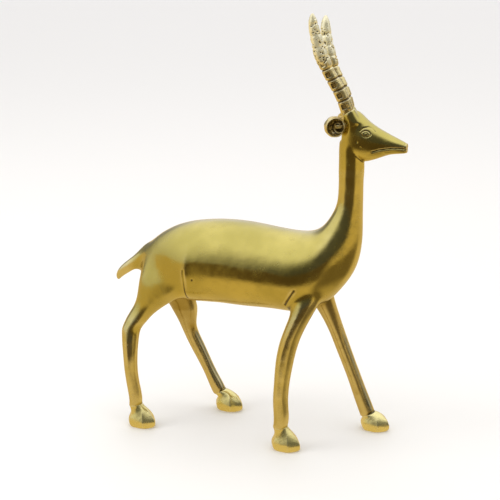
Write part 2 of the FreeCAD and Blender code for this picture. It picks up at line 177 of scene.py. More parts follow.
def keep_outermost(mesh):
    """The mesh with only its largest connected surface, which drops the walls of inner hollows."""
    ends = edge_ends(mesh)
    label = np.arange(len(mesh.vertices))
    while True:
        low = np.minimum(label[ends[:, 0]], label[ends[:, 1]])
        fresh = label.copy()
        np.minimum.at(fresh, ends[:, 0], low)
        np.minimum.at(fresh, ends[:, 1], low)
        fresh = fresh[fresh]
        if (fresh == label).all():
            break
        label = fresh
    names, counts = np.unique(label, return_counts=True)
    if len(names) == 1:
        return mesh
    keep = names[counts.argmax()]
    bm = bmesh.new()
    bm.from_mesh(mesh)
    bm.verts.ensure_lookup_table()
    loose = [bm.verts[i] for i in np.flatnonzero(label != keep)]
    bmesh.ops.delete(bm, geom=loose, context="VERTS")
    bm.to_mesh(mesh)
    bm.free()
    return mesh


def neighbour_mean(co, ends, degree):
    total = np.empty_like(co)
    count = len(co)
    for axis in range(co.shape[1]):
        column = co[:, axis]
        total[:, axis] = np.bincount(ends[:, 0], column[ends[:, 1]], count)
        total[:, axis] += np.bincount(ends[:, 1], column[ends[:, 0]], count)
    return total / degree[:, None]


def smoothed(co, ends, rounds, factors, weight=1.0):
    """Neighbour averaging, each round stepping by the factors in turn."""
    degree = np.bincount(ends.ravel(), minlength=len(co)).astype(float)
    weight = np.broadcast_to(weight, len(co))[:, None]
    for _ in range(rounds):
        for factor in factors:
            co = co + (neighbour_mean(co, ends, degree) - co) * (factor * weight)
    return co


def smoothed_near(co, ends, rounds, weight):
    """Neighbour averaging where the weight is more than faint, leaving the rest as it is."""
    inside = weight > FAINT
    used = ends[inside[ends[:, 0]] | inside[ends[:, 1]]]
    index, flat = np.unique(used, return_inverse=True)
    local_weight = np.where(inside, weight, 0)[index]
    out = co.copy()
    out[index] = smoothed(co[index], flat.reshape(-1, 2), rounds, RELAX, local_weight)
    return out


def tree_of(nodes):
    verts, faces = [], []
    for node in nodes:
        base = len(verts)
        mesh = NODES[node].data
        verts.extend(v.co.copy() for v in mesh.vertices)
        faces.extend([base + i for i in p.vertices] for p in mesh.polygons)
    return BVHTree.FromPolygons(verts, faces)


def distance_to(nodes, co, reach):
    """Distance from points to CAD nodes, cut off at reach."""
    tree = tree_of(nodes)
    boxes = [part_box(node) for node in nodes]
    low = np.min([box[0] for box in boxes], axis=0) - reach
    high = np.max([box[1] for box in boxes], axis=0) + reach
    far = np.full(len(co), reach)
    near = np.flatnonzero(((co > low) & (co < high)).all(axis=1))
    for i in near:
        distance = tree.find_nearest(Vector(co[i]), reach)[3]
        if distance is not None:
            far[i] = distance
    return far


def distance_to_line(co, points):
    """Distance from points to a polyline, both seen from the side, in the XZ plane."""
    points = np.array(points)
    flat = co[:, (0, 2)]
    best = np.full(len(co), np.inf)
    for a, b in zip(points[:-1], points[1:]):
        t = np.clip(((flat - a) @ (b - a)) / np.linalg.norm(b - a)**2, 0, 1)
        best = np.minimum(best, np.linalg.norm(flat - a - t[:, None] * (b - a), axis=1))
    return best


def behind_below(corner, *points):
    """Points in the XZ plane, given in mm behind and below a corner of a node's box."""
    return [(corner.x - back * MM, corner.z - down * MM) for back, down in points]


def eased(value, low, high):
    """0 below low, 1 above high and smooth between."""
    t = np.clip((value - low) / (high - low), 0, 1)
    return t * t * (3 - 2 * t)


def bumps(co, size, seed):
    """Smooth noise between -1 and 1, with features of the given size in mm."""
    scaled = co / (size * MM) + seed
    return np.array([noise.noise(Vector(point)) for point in scaled])


def hollows(mesh, reach):
    """How far each vertex lies below its surroundings out to reach mm, in mm."""
    co, ends, normals = coordinates(mesh), edge_ends(mesh), vertex_normals(mesh)
    step = np.median(np.linalg.norm(co[ends[:, 0]] - co[ends[:, 1]], axis=1))
    rounds = max(2, round((reach * MM / step) ** 2 / 0.3))
    around = smoothed(co, ends, rounds, RELAX)
    return ((around - co) * normals).sum(axis=1) / MM


# ------------------------------------------------------------------ the skin

# How far joints are felt, and each joint's blend: its reach in mm and its rounds of smoothing.
JOINT_SEARCH = 14 * MM
HOOF_SEARCH = 6 * MM
JOINT_BLENDS = {
    "leg_fore_left": (7, 60),
    "leg_fore_right": (7, 60),
    "leg_hind_left": (8, 80),
    "leg_hind_right": (8, 80),
    "tail": (10, 240),
}
SKIN_ROUNDS = 20
HAUNCH_ROUNDS = 170
JAW = ((53.0, 6.5), (46.0, 13.0), (40.0, 21.0))
JAW_REACH, JAW_ROUNDS = 6.5, 110
FACE_DEPTH = 44 * MM
FACE_ROUNDS = 6
SKIN_HOLLOW_REACH = 1.1

# The lean of the thighs: how much deeper a thigh lies for each mm towards the tail, the range
# of that, and how much further the near limb is set in below. All in mm.
LEAN_SLOPE = 0.34
LEAN_PIVOT = 5
LEAN_MIDDLE, LEAN_REACH = -1.9, 4.0
NEAR_DROOP = 2.6
CREASE_AHEAD = 3.6
OUTER_SIDE = (6, 16)
LIMB_INSIDE = 3
# Where it fades: heights in mm above the top of the thigh, but the near foot's above the ground.
LEAN_TOP = (-8, 18)
FAR_LEAN_FOOT = (-50, -34)
NEAR_LEAN_FOOT = (52, 108)
DROOP_RISE = (-44, -12)
WHOLE_LIMB_RISE = (-42, -28)
HELD_IN_VIEW_RISE = (-60, -50)
EDGE_SOFT, EDGE_SOFTER, EDGE_RISE = 3.0, 7.0, (-4, 10)

# Where the thighs get their last smoothing, in mm from the middle plane, above the top of the
# thigh and ahead of its front.
HAUNCH_SIDE = (8, 15)
HAUNCH_TOP, HAUNCH_FOOT = (6, 24), (-52, -34)
HAUNCH_FRONT = (-3, 5)


def slanted_haunches(co):
    """Thighs that fall away towards the tail, with the near limb set in down to its shank."""
    x, z = co[:, 0] / MM, co[:, 2] / MM
    side, reach = np.sign(co[:, 1]), np.abs(co[:, 1]) / MM
    front, rise = THIGH_CORNER.x / MM, z - THIGH_CORNER.z / MM
    near = side < 0
    slope = LEAN_SLOPE * (x - (front - LEAN_PIVOT))
    lean = LEAN_MIDDLE + LEAN_REACH * np.tanh((slope - LEAN_MIDDLE) / LEAN_REACH)
    droop = NEAR_DROOP * (1 - eased(rise, *DROOP_RISE)) * near
    window = 1 - eased(rise, *LEAN_TOP)
    window *= np.where(near, eased(z, *NEAR_LEAN_FOOT), eased(rise, *FAR_LEAN_FOOT))
    soft = EDGE_SOFT + EDGE_SOFTER * eased(rise, *EDGE_RISE)
    edge = front + CREASE_AHEAD
    window *= 1 - eased(x, edge - soft, edge + 0.5 * soft)
    whole_limb = near * (1 - eased(rise, *WHOLE_LIMB_RISE)) * (reach > LIMB_INSIDE)
    part_moved = np.maximum(eased(reach, *OUTER_SIDE), whole_limb)
    shift = side * (lean - droop) * window * part_moved * MM
    held_in_view = 1 - eased(rise, *HELD_IN_VIEW_RISE)
    out = co.copy()
    out[:, 1] += shift
    out[:, 0] -= shift * math.tan(math.radians(VIEW_AZIMUTH)) * held_in_view
    return out


def haunch_weight(co):
    """1 on the outer faces of the thighs, fading out round them."""
    ahead = (co[:, 0] - THIGH_CORNER.x) / MM
    rise = (co[:, 2] - THIGH_CORNER.z) / MM
    weight = eased(np.abs(co[:, 1]) / MM, *HAUNCH_SIDE)
    weight = weight * (1 - eased(rise, *HAUNCH_TOP)) * eased(rise, *HAUNCH_FOOT)
    return weight * (1 - eased(ahead, *HAUNCH_FRONT))


def falloff(distance, reach):
    """1 at no distance, falling to nothing beyond reach mm."""
    return np.exp(-((distance / (reach * MM)) ** 2))


def skin_mesh():
    """Body, head, legs and tail as one closed surface, and the fields that mark its joints.

    A joint's field is below 0 on its own casting's side and above 0 on the other.
    """
    mesh = remeshed(welded(TRUNK + LEGS + HOOVES + ("head", "tail")), SKIN_VOXEL)
    ends = edge_ends(mesh)
    start = coordinates(mesh)
    co = slanted_haunches(smoothed(start, ends, SKIN_ROUNDS, EVEN_OUT))
    trunk = distance_to(TRUNK, start, JOINT_SEARCH)
    fields = {}
    for node, (reach, rounds) in JOINT_BLENDS.items():
        near = distance_to((node,), start, JOINT_SEARCH)
        fields[node] = near - trunk
        co = smoothed_near(co, ends, rounds, falloff(near + trunk, reach))
    co = smoothed_near(co, ends, HAUNCH_ROUNDS, haunch_weight(co))
    for hoof, leg in zip(HOOVES, LEGS):
        to_hoof = distance_to((hoof,), start, HOOF_SEARCH)
        fields[hoof] = to_hoof - distance_to((leg,), start, HOOF_SEARCH)
    jaw = distance_to_line(co, behind_below(HEAD_CORNER, *JAW))
    weight = falloff(jaw, JAW_REACH) * (co[:, 2] > NECK_JOINT_Z)
    place(mesh, smoothed_near(co, ends, JAW_ROUNDS, weight))
    return mesh, fields


def refined(mesh, chosen):
    """The mesh with the faces chosen by their middles split in four; new vertices come last."""
    bm = bmesh.new()
    bm.from_mesh(mesh)
    edges = {e for f in bm.faces if chosen(f.calc_center_median()) for e in f.edges}
    bmesh.ops.subdivide_edges(bm, edges=list(edges), cuts=1, use_grid_fill=True)
    bmesh.ops.triangulate(bm, faces=[f for f in bm.faces if len(f.verts) > 4])
    bm.to_mesh(mesh)
    bm.free()
    return mesh


# ------------------------------------------------------------------ carving the skin

# Lines and points on the head, in mm behind and below its front upper corner.
EYE = (29.4, 17.4)
BROW = ((33.8, 15.4), (31.6, 13.4), (28.4, 12.6), (25.6, 13.6), (23.4, 15.6))
CHEEK_PIT = (35.6, 23.5)
JAW_PIT = (32.9, 27.4)
MOUTH = ((24.7, 30.5), (19.6, 28.8), (10.1, 27.1), (5.0, 27.1), (-1.0, 28.0))
CHIN = ((16.0, 31.2), (7.0, 30.6), (0.0, 30.6))
NOSE = ((2.6, 23.6), (2.2, 30.6))
CARVED_DEPTH = 42 * MM
NOSE_PLANE = HEAD_CORNER.x - 1.0 * MM
# Creases of the limbs, in mm behind and below the upper front of the thigh and the upper back
# of the arm.
THIGH_CREASE = ((-2.4, 3.0), (-2.2, 14.0), (-1.2, 29.0))
CASTING_PIT = (-9.5, 10.0)
ARM_CREASE = ((-15.5, -2.5), (-12.0, 3.0), (-7.0, 11.0))


def groove(co, points, width, depth):
    """How far a rounded groove along a polyline moves each point along its normal."""
    return -depth * MM * falloff(distance_to_line(co, points), width)


def pit(co, point, radius, depth):
    gap = np.linalg.norm(co[:, (0, 2)] - np.array(point), axis=1)
    return -depth * MM * falloff(gap, radius)


def almond(centre, half_long, half_high, tilt, count=28):
    """A closed eye outline, pointed at both ends."""
    loop = []
    for step in range(count + 1):
        turn = 2 * math.pi * step / count
        x = half_long * math.cos(turn)
        z = half_high * math.sin(turn) * (1 - 0.45 * abs(math.cos(turn)) ** 3)
        loop.append((
            centre[0] + (x * math.cos(tilt) - z * math.sin(tilt)) * MM,
            centre[1] + (x * math.sin(tilt) + z * math.cos(tilt)) * MM,
        ))
    return loop


def carved_sides(co):
    """Eye, brow and the two pits on the sides of the head."""
    eye, cheek_pit, jaw_pit = behind_below(HEAD_CORNER, EYE, CHEEK_PIT, JAW_PIT)
    push = groove(co, almond(eye, 3.4, 2.2, -0.16), width=0.34, depth=0.42)
    push += groove(co, almond(eye, 1.25, 1.1, 0), width=0.28, depth=0.18)
    push += groove(co, behind_below(HEAD_CORNER, *BROW), width=0.5, depth=0.28)
    push += pit(co, cheek_pit, radius=0.7, depth=0.3)
    push += pit(co, jaw_pit, radius=0.6, depth=0.3)
    eyeball = -pit(co, eye, radius=2.4, depth=0.22)
    return push + eyeball


def carved_muzzle(co):
    """Mouth, chin and the edge of the nose, which run round the front of the head."""
    push = groove(co, behind_below(HEAD_CORNER, *MOUTH), width=0.62, depth=0.85)
    push -= groove(co, behind_below(HEAD_CORNER, *CHIN), width=1.0, depth=0.25)
    return push + groove(co, behind_below(HEAD_CORNER, *NOSE), width=0.3, depth=0.2)


def carved_limbs(co):
    """The creases where thigh and arm meet the trunk, and a small casting pit."""
    arm_low, arm_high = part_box("leg_fore_right")
    arm_corner = Vector((arm_low.x, 0, arm_high.z))
    push = groove(co, behind_below(THIGH_CORNER, *THIGH_CREASE), width=0.7, depth=0.26)
    push += groove(co, behind_below(arm_corner, *ARM_CREASE), width=0.8, depth=0.5)
    casting_pit = behind_below(THIGH_CORNER, CASTING_PIT)[0]
    push += pit(co, casting_pit, radius=0.8, depth=0.35)
    away_from_middle = np.clip((np.abs(co[:, 1]) - 9 * MM) / (6 * MM), 0, 1)
    return push * away_from_middle * (co[:, 2] < THIGH_CORNER.z + 6 * MM)


def carve(mesh):
    """Presses the face, the creases and low waves of hand finishing into the skin."""
    co = coordinates(mesh)
    normals = vertex_normals(mesh)
    side_on = np.clip((np.abs(normals[:, 1]) - 0.15) / 0.25, 0, 1)
    on_head = co[:, 2] > HEAD_CORNER.z - CARVED_DEPTH
    push = carved_limbs(co) * side_on
    push[on_head] += carved_sides(co[on_head]) * side_on[on_head] + carved_muzzle(co[on_head])
    push += (0.12 * bumps(co, size=16, seed=3.1) + 0.03 * bumps(co, size=6, seed=7.7)) * MM
    out = co + normals * push[:, None]
    out[:, 0] = np.minimum(out[:, 0], NOSE_PLANE)
    place(mesh, out)


def finished_skin():
    """The carved skin, its joint fields and its hollows."""
    mesh, fields = skin_mesh()
    before = len(mesh.vertices)
    face_floor = HEAD_CORNER.z - FACE_DEPTH
    mesh = refined(mesh, lambda middle: middle.z > face_floor)
    no_joint_near = np.full(len(mesh.vertices) - before, JOINT_SEARCH)
    fields = {node: np.append(field, no_joint_near) for node, field in fields.items()}
    co = coordinates(mesh)
    head_part = (co[:, 2] > face_floor - 2 * MM).astype(float)
    place(mesh, smoothed(co, edge_ends(mesh), FACE_ROUNDS, EVEN_OUT, head_part))
    carve(mesh)
    return mesh, fields, hollows(mesh, SKIN_HOLLOW_REACH)


# ------------------------------------------------------------------ cutting the skin into pieces

ISLAND_FACES = 60
ON_THE_CUT = 2e-6


def inside(point, box):
    return all(box[0][k] < point[k] < box[1][k] for k in range(3))


def with_joint_edges(mesh, fields, hollow_values):
    """A bmesh of the skin with edges along each joint, its fields in layers, and the layers.

    Each joint is cut as a plane: for the cut, every vertex stands at its field's value instead
    of its own height.
    """
    normals = vertex_normals(mesh)
    co = coordinates(mesh)
    bm = bmesh.new()
    bm.from_mesh(mesh)
    spot = bm.verts.layers.float_vector.new("spot")
    facing = bm.verts.layers.float_vector.new("facing")
    cuts = dict(fields)
    cuts["head"] = NECK_JOINT_Z - co[:, 2]
    hollow = bm.verts.layers.float.new("hollow")
    for vert, value in zip(bm.verts, hollow_values):
        vert[hollow] = value
    layers = {name: bm.verts.layers.float.new("cut_" + name) for name in cuts}
    for vert, stands_at, normal in zip(bm.verts, co, normals):
        vert[spot] = stands_at
        vert[facing] = normal
    for name, values in cuts.items():
        layer = layers[name]
        for vert, value in zip(bm.verts, values):
            vert[layer] = value
    for name, layer in layers.items():
        near = {face for face in bm.faces if inside(face.verts[0][spot], BOXES[name])}
        for vert in bm.verts:
            vert.co = (vert[spot][0], vert[spot][1], vert[layer])
        edges = {e for f in near for e in f.edges}
        verts = {v for f in near for v in f.verts}
        bmesh.ops.bisect_plane(
            bm, geom=list(verts) + list(edges) + list(near), dist=1e-6,
            plane_co=(0, 0, 0), plane_no=(0, 0, 1),
        )
        for vert in bm.verts:
            if abs(vert.co.z) < ON_THE_CUT:
                vert[layer] = 0.0
    for vert in bm.verts:
        vert.co = vert[spot]
    return bm, layers


def settle_islands(bm, owner):
    """Gives every small island of one region to the region round it."""
    seen = set()
    for start in bm.faces:
        if start.index in seen:
            continue
        name = owner[start.index]
        seen.add(start.index)
        island, queue = [start], [start]
        while queue:
            for edge in queue.pop().edges:
                for other in edge.link_faces:
                    if other.index not in seen and owner[other.index] == name:
                        seen.add(other.index)
                        island.append(other)
                        queue.append(other)
        if len(island) < ISLAND_FACES:
            round_it = [
                owner[other.index] for face in island for edge in face.edges
                for other in edge.link_faces if owner[other.index] != name
            ]
            taker = max(sorted(set(round_it)), key=round_it.count)
            for face in island:
                owner[face.index] = taker


def owners(bm, layers):
    """The piece that each face belongs to, by the face's index."""
    owner = {}
    for face in bm.faces:
        name = "trunk"
        middle = face.calc_center_median()
        for node, layer in sorted(layers.items()):
            if inside(middle, BOXES[node]) and sum(vert[layer] for vert in face.verts) < 0:
                name = node
                break
        owner[face.index] = name
    settle_islands(bm, owner)
    return owner


def cap_open_edges(part):
    """Closes every hole, marking the caps with material index 1."""
    part.faces.ensure_lookup_table()
    before = set(part.faces)
    holes = [edge for edge in part.edges if edge.is_boundary]
    filled = bmesh.ops.holes_fill(part, edges=holes, sides=0)["faces"]
    bmesh.ops.triangulate(part, faces=filled)
    for face in part.faces:
        if face not in before:
            face.material_index = 1
            face.smooth = False


def region_part(bm, owner, name):
    """The faces of one region, capped at its joints, with the skin's normals and hollows."""
    facing, hollow = bm.verts.layers.float_vector["facing"], bm.verts.layers.float["hollow"]
    part = bmesh.new()
    part_facing = part.verts.layers.float_vector.new("facing")
    part_hollow = part.verts.layers.float.new("hollow")
    made = {}
    for face in bm.faces:
        if owner[face.index] != name:
            continue
        for vert in face.verts:
            if vert.index not in made:
                copy = part.verts.new(vert.co)
                copy[part_facing] = vert[facing]
                copy[part_hollow] = vert[hollow]
                made[vert.index] = copy
        part.faces.new([made[v.index] for v in face.verts])
    cap_open_edges(part)
    return part


def halved(trunk):
    """The trunk as the two castings, cut along the middle plane and closed."""
    halves = {}
    for side, sign in (("left", 1), ("right", -1)):
        half = trunk.copy()
        bmesh.ops.bisect_plane(
            half, geom=list(half.verts) + list(half.edges) + list(half.faces), dist=1e-7,
            plane_co=(0, 0, 0), plane_no=(0, sign, 0), clear_inner=True,
        )
        cap_open_edges(half)
        halves["body_shell_" + side] = half
    trunk.free()
    return halves


def skin_parts(mesh, fields, hollow_values):
    """The skin's pieces by CAD node, capped at their joints, without the hooves.

    The hooves have finer meshes of their own.
    """
    bm, layers = with_joint_edges(mesh, fields, hollow_values)
    bm.verts.index_update()
    bm.faces.index_update()
    owner = owners(bm, layers)
    wanted = sorted(set(owner.values()) - set(HOOVES))
    parts = {name: region_part(bm, owner, name) for name in wanted}
    bm.free()
    parts.update(halved(parts.pop("trunk")))
    return parts


def inner_side_shade(mesh, normals, name):
    """How much painted shade each vertex of a leg gets from facing the other legs: 1 on its inner
    side, below the belly.
    """
    side = 1 if name.endswith("left") else -1
    turned = np.array([-normal[1] * side for normal in normals])
    below = 1 - eased(coordinates(mesh)[:, 2], BELLY_Z - 4 * MM, BELLY_Z + 8 * MM)
    return (eased(turned, -0.35, 0.45) * below).astype(np.float32)


def finish_part(part, name):
    """A bmesh part as an object whose normals follow the uncut skin."""
    facing = part.verts.layers.float_vector["facing"]
    bmesh.ops.triangulate(part, faces=[f for f in part.faces if len(f.verts) > 4])
    part.verts.index_update()
    normals = [tuple(vert[facing]) for vert in part.verts]
    mesh = bpy.data.meshes.new(name)
    part.to_mesh(mesh)
    part.free()
    loops = []
    for polygon in mesh.polygons:
        capped = polygon.material_index == 1
        polygon.use_smooth = True
        for vertex in polygon.vertices:
            loops.append(tuple(polygon.normal) if capped else normals[vertex])
    mesh.polygons.foreach_set("material_index", np.zeros(len(mesh.polygons), np.int32))
    # Legs carry a mask for painted shade on their inner sides.
    if "leg" in name:
        shelter = mesh.attributes.new("shelter", "FLOAT", "POINT")
        shelter.data.foreach_set("value", inner_side_shade(mesh, normals, name))
    mesh.attributes.remove(mesh.attributes["facing"])
    mesh.normals_split_custom_set(loops)
    return new_object(name, mesh)


def stand_in(made, node):
    """Makes a piece ride on the figure in place of its CAD node."""
    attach(made, "root")
    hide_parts(node)
    return made


skins = {}
for node, part in sorted(skin_parts(*finished_skin()).items()):
    skins[node] = stand_in(finish_part(part, "brass_" + node), node)


# ------------------------------------------------------------------ hooves, horns and ears

HOOF_FACETS = 6
HOOF_RIDGE = -0.175
HOOF_SHARPNESS = 0.75
HORN_WORN = 0.50
HORN_SWELLING = 1.35
HORN_PIT_DEPTH = 2.2
RINGS_WORN_OVER = 1.7
CURL_HEIGHT = 2.0
FINE_HOLLOW_REACH = 0.5


def hoof_shape(co, normals, node):
    """Flat filed faces meeting in ridges that run from the pastern to the sole."""
    low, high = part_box(node)
    middle = np.array(((low.x + high.x) / 2, (low.y + high.y) / 2))
    half = np.array(((high.x - low.x) / 2, (high.y - low.y) / 2))
    flat = (co[:, :2] - middle) / half
    step = 2 * math.pi / HOOF_FACETS
    turn = (np.arctan2(flat[:, 1], flat[:, 0]) - HOOF_RIDGE) % step
    facet = math.cos(step / 2) / np.cos(turn - step / 2)
    up = np.clip(co[:, 2] / (high.z - low.z), 0, 1)
    below_pastern = np.clip((0.95 - up) / 0.3, 0, 1)
    above_sole = np.clip(up / 0.12 + 0.3, 0, 1)
    scale = 1 + (facet / facet.mean() - 1) * HOOF_SHARPNESS * below_pastern * above_sole
    out = co.copy()
    out[:, :2] = middle + (co[:, :2] - middle) * scale[:, None]
    push = (0.07 * bumps(co, size=4, seed=1.3) + 0.03 * bumps(co, size=1.6, seed=5.1)) * MM
    out = out + normals * push[:, None]
    out[:, 2] = np.maximum(out[:, 2], 0.0)
    return out


def horn_height(co, node):
    """0 at the foot of a horn, 1 at its tip."""
    low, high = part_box(node)
    return np.clip((co[:, 2] - low.z) / (high.z - low.z), 0, 1)


def worn_rings(co, ends, voxel, node):
    """The horn with its upper rings smoothed away."""
    rounds = round((RINGS_WORN_OVER * MM / voxel) ** 2 / 0.6)
    worn = eased(horn_height(co, node), HORN_WORN - 0.06, HORN_WORN + 0.04)
    return smoothed_near(co, ends, rounds, worn)


def horn_shape(co, normals, node):
    """Rings below; above them a swollen, pitted casting that smooths out at the tip."""
    up = horn_height(co, node)
    rough = eased(up, HORN_WORN - 0.08, HORN_WORN + 0.06)
    tip = eased(1 - up, -0.04, 0.09)
    coarse = bumps(co, size=3.2, seed=2.2)
    small = bumps(co, size=1.25, seed=9.4)
    pits = -HORN_PIT_DEPTH * np.clip(coarse + 0.7 * small - 0.14, 0, 1)
    pits *= 1 - 0.75 * eased(up, 0.78, 0.95)
    push = (rough * tip * (HORN_SWELLING + pits) + 0.05 * small) * MM
    return co + normals * push[:, None]


def ear_shape(co, normals, node):
    """A curl raised inside the cup, with a lumpy chased surface."""
    low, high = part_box(node)
    side = 1 if node.endswith("left") else -1
    flat = co[:, (0, 2)] - np.array(((low.x + high.x) / 2, (low.z + high.z) / 2))
    turn = np.arctan2(flat[:, 1], flat[:, 0])
    radius = np.linalg.norm(flat, axis=1) / MM
    spiral = 2.0 + 0.55 * ((turn - 0.9) % (2 * math.pi))
    curl = np.exp(-(((radius - spiral) / 0.8) ** 2)) * np.clip((5.8 - radius) / 1.5, 0, 1)
    faces_out = np.clip(normals[:, 1] * side * 1.5, 0, 1)
    out = co.copy()
    out[:, 1] += side * CURL_HEIGHT * MM * curl * faces_out
    push = (0.30 * bumps(co, size=2.6, seed=4.4) + 0.14 * bumps(co, size=1.1, seed=8.8)) * MM
    return out + normals * push[:, None]


def fine_piece(node, voxel, rounds, shape):
    """A finer copy of a CAD node, shaped by a function of its points and normals."""
    mesh = remeshed(welded((node,)), voxel)
    ends = edge_ends(mesh)
    co = smoothed(coordinates(mesh), ends, rounds, EVEN_OUT)
    if node in HORNS:
        co = worn_rings(co, ends, voxel, node)
    place(mesh, co)
    place(mesh, shape(coordinates(mesh), vertex_normals(mesh), node))
    attribute = mesh.attributes.new("hollow", "FLOAT", "POINT")
    attribute.data.foreach_set("value", hollows(mesh, FINE_HOLLOW_REACH).astype(np.float32))
    for polygon in mesh.polygons:
        polygon.use_smooth = True
    mesh.name = "brass_" + node
    return stand_in(new_object("brass_" + node, mesh), node)


fine = {}
for nodes, slot, voxel, rounds, shape in (
    (HOOVES, "brass_hoof", HOOF_VOXEL, 4, hoof_shape),
    (HORNS, "brass_horn", HORN_VOXEL, 3, horn_shape),
    (EARS, "brass_horn", EAR_VOXEL, 3, ear_shape),
):
    for node in nodes:
        fine[node] = fine_piece(node, voxel, rounds, shape)


# ------------------------------------------------------------------ node graphs

class Graph:
    """Short calls for building a node tree. A value is a number, a tuple or another's output."""

    def __init__(self, tree):
        self.tree = tree
        self.coords = tree.nodes.new("ShaderNodeTexCoord").outputs

    def feed(self, socket, value):
        if isinstance(value, bpy.types.NodeSocket):
            self.tree.links.new(value, socket)
        else:
            socket.default_value = value

    def stretched(self, scale):
        node = self.tree.nodes.new("ShaderNodeMapping")
        self.feed(node.inputs["Scale"], scale)
        self.feed(node.inputs["Vector"], self.coords["Object"])
        return node.outputs["Vector"]

    def noise(self, scale, detail=4.0, rough=0.55, vector=None):
        node = self.tree.nodes.new("ShaderNodeTexNoise")
        self.feed(node.inputs["Scale"], scale)
        self.feed(node.inputs["Detail"], detail)
        self.feed(node.inputs["Roughness"], rough)
        self.feed(node.inputs["Vector"], vector or self.coords["Object"])
        return node.outputs["Fac"]

    def cells(self, scale):
        node = self.tree.nodes.new("ShaderNodeTexVoronoi")
        self.feed(node.inputs["Scale"], scale)
        self.feed(node.inputs["Vector"], self.coords["Object"])
        return node.outputs["Distance"]

    def spread(self, value, low, high, to_low=0.0, to_high=1.0):
        """A value between low and high, eased onto the range from to_low to to_high."""
        node = self.tree.nodes.new("ShaderNodeMapRange")
        node.interpolation_type = "SMOOTHSTEP"
        self.feed(node.inputs["Value"], value)
        self.feed(node.inputs["From Min"], low)
        self.feed(node.inputs["From Max"], high)
        self.feed(node.inputs["To Min"], to_low)
        self.feed(node.inputs["To Max"], to_high)
        return node.outputs["Result"]

    def math(self, kind, a, b):
        node = self.tree.nodes.new("ShaderNodeMath")
        node.operation = kind
        self.feed(node.inputs[0], a)
        self.feed(node.inputs[1], b)
        return node.outputs[0]

    def vector(self, kind, a, b=None, output="Vector"):
        node = self.tree.nodes.new("ShaderNodeVectorMath")
        node.operation = kind
        self.feed(node.inputs[0], a)
        if b is not None:
            self.feed(node.inputs["Scale" if kind == "SCALE" else 1], b)
        return node.outputs[output]

    def blend(self, factor, a, b):
        """A colour between a and b."""
        node = self.tree.nodes.new("ShaderNodeMix")
        node.data_type = "RGBA"
        self.feed(node.inputs["Factor"], factor)
        for key, value in (("A", a), ("B", b)):
            socket = [i for i in node.inputs if i.name == key and i.type == "RGBA"][0]
            self.feed(socket, (*value, 1) if isinstance(value, tuple) else value)
        return [o for o in node.outputs if o.type == "RGBA"][0]

    def attribute(self, name):
        node = self.tree.nodes.new("ShaderNodeAttribute")
        node.attribute_name = name
        return node.outputs["Fac"]

    def height(self, vector):
        node = self.tree.nodes.new("ShaderNodeSeparateXYZ")
        self.feed(node.inputs[0], vector)
        return node.outputs["Z"]

    def bump(self, height, distance, strength, below=None):
        node = self.tree.nodes.new("ShaderNodeBump")
        self.feed(node.inputs["Height"], height)
        self.feed(node.inputs["Distance"], distance)
        self.feed(node.inputs["Strength"], strength)
        if below is not None:
            self.feed(node.inputs["Normal"], below)
        return node.outputs["Normal"]

    def seen_in_metal(self):
        """1 for rays that a polished surface sends out, 0 for the camera's own."""
        return self.tree.nodes.new("ShaderNodeLightPath").outputs["Is Glossy Ray"]


def surface(name):
    """A new material, the graph of its nodes and the inputs of its shader."""
    material = bpy.data.materials.new(name)
    material.use_nodes = True
    shader = material.node_tree.nodes["Principled BSDF"]
    return material, Graph(material.node_tree), shader.inputs


# ------------------------------------------------------------------ materials

GOLD = (0.64, 0.52, 0.115)
OLIVE = (0.49, 0.40, 0.075)
# Painted highlight colour for the tops of the horns.
HORN_HIGHLIGHT_PAINT = (0.97, 0.91, 0.62)
PATINA = (0.11, 0.075, 0.025)
WORN = (0.80, 0.70, 0.36)
# Painted shade colour for the inner sides of the legs.
PAINTED_LEG_SHADE = (0.34, 0.235, 0.045)
STEEL_DARK = (0.42, 0.42, 0.43)
STEEL_LIGHT = (0.60, 0.59, 0.57)

# Features per metre of the noises in the brass.
TONE_SCALE = 22.0
STAIN_SCALE = 75.0
BLOTCH_SCALE = 140.0
RIPPLE_SCALE = 260.0
PIT_SCALE = 620.0
GRAIN_SCALE = 900.0
BRUSH_SCALE = (160.0, 420.0, 1900.0)

# The painted highlight on the horns: its fade in height, its share of the pale colour and the
# metal it takes away.
HIGHLIGHT_FADE = 16 * MM
HIGHLIGHT_SHARE = 0.9
HIGHLIGHT_DULLING = 0.42
# The share of painted shade on the inner sides of the legs.
LEG_SHADE_SHARE = 0.75


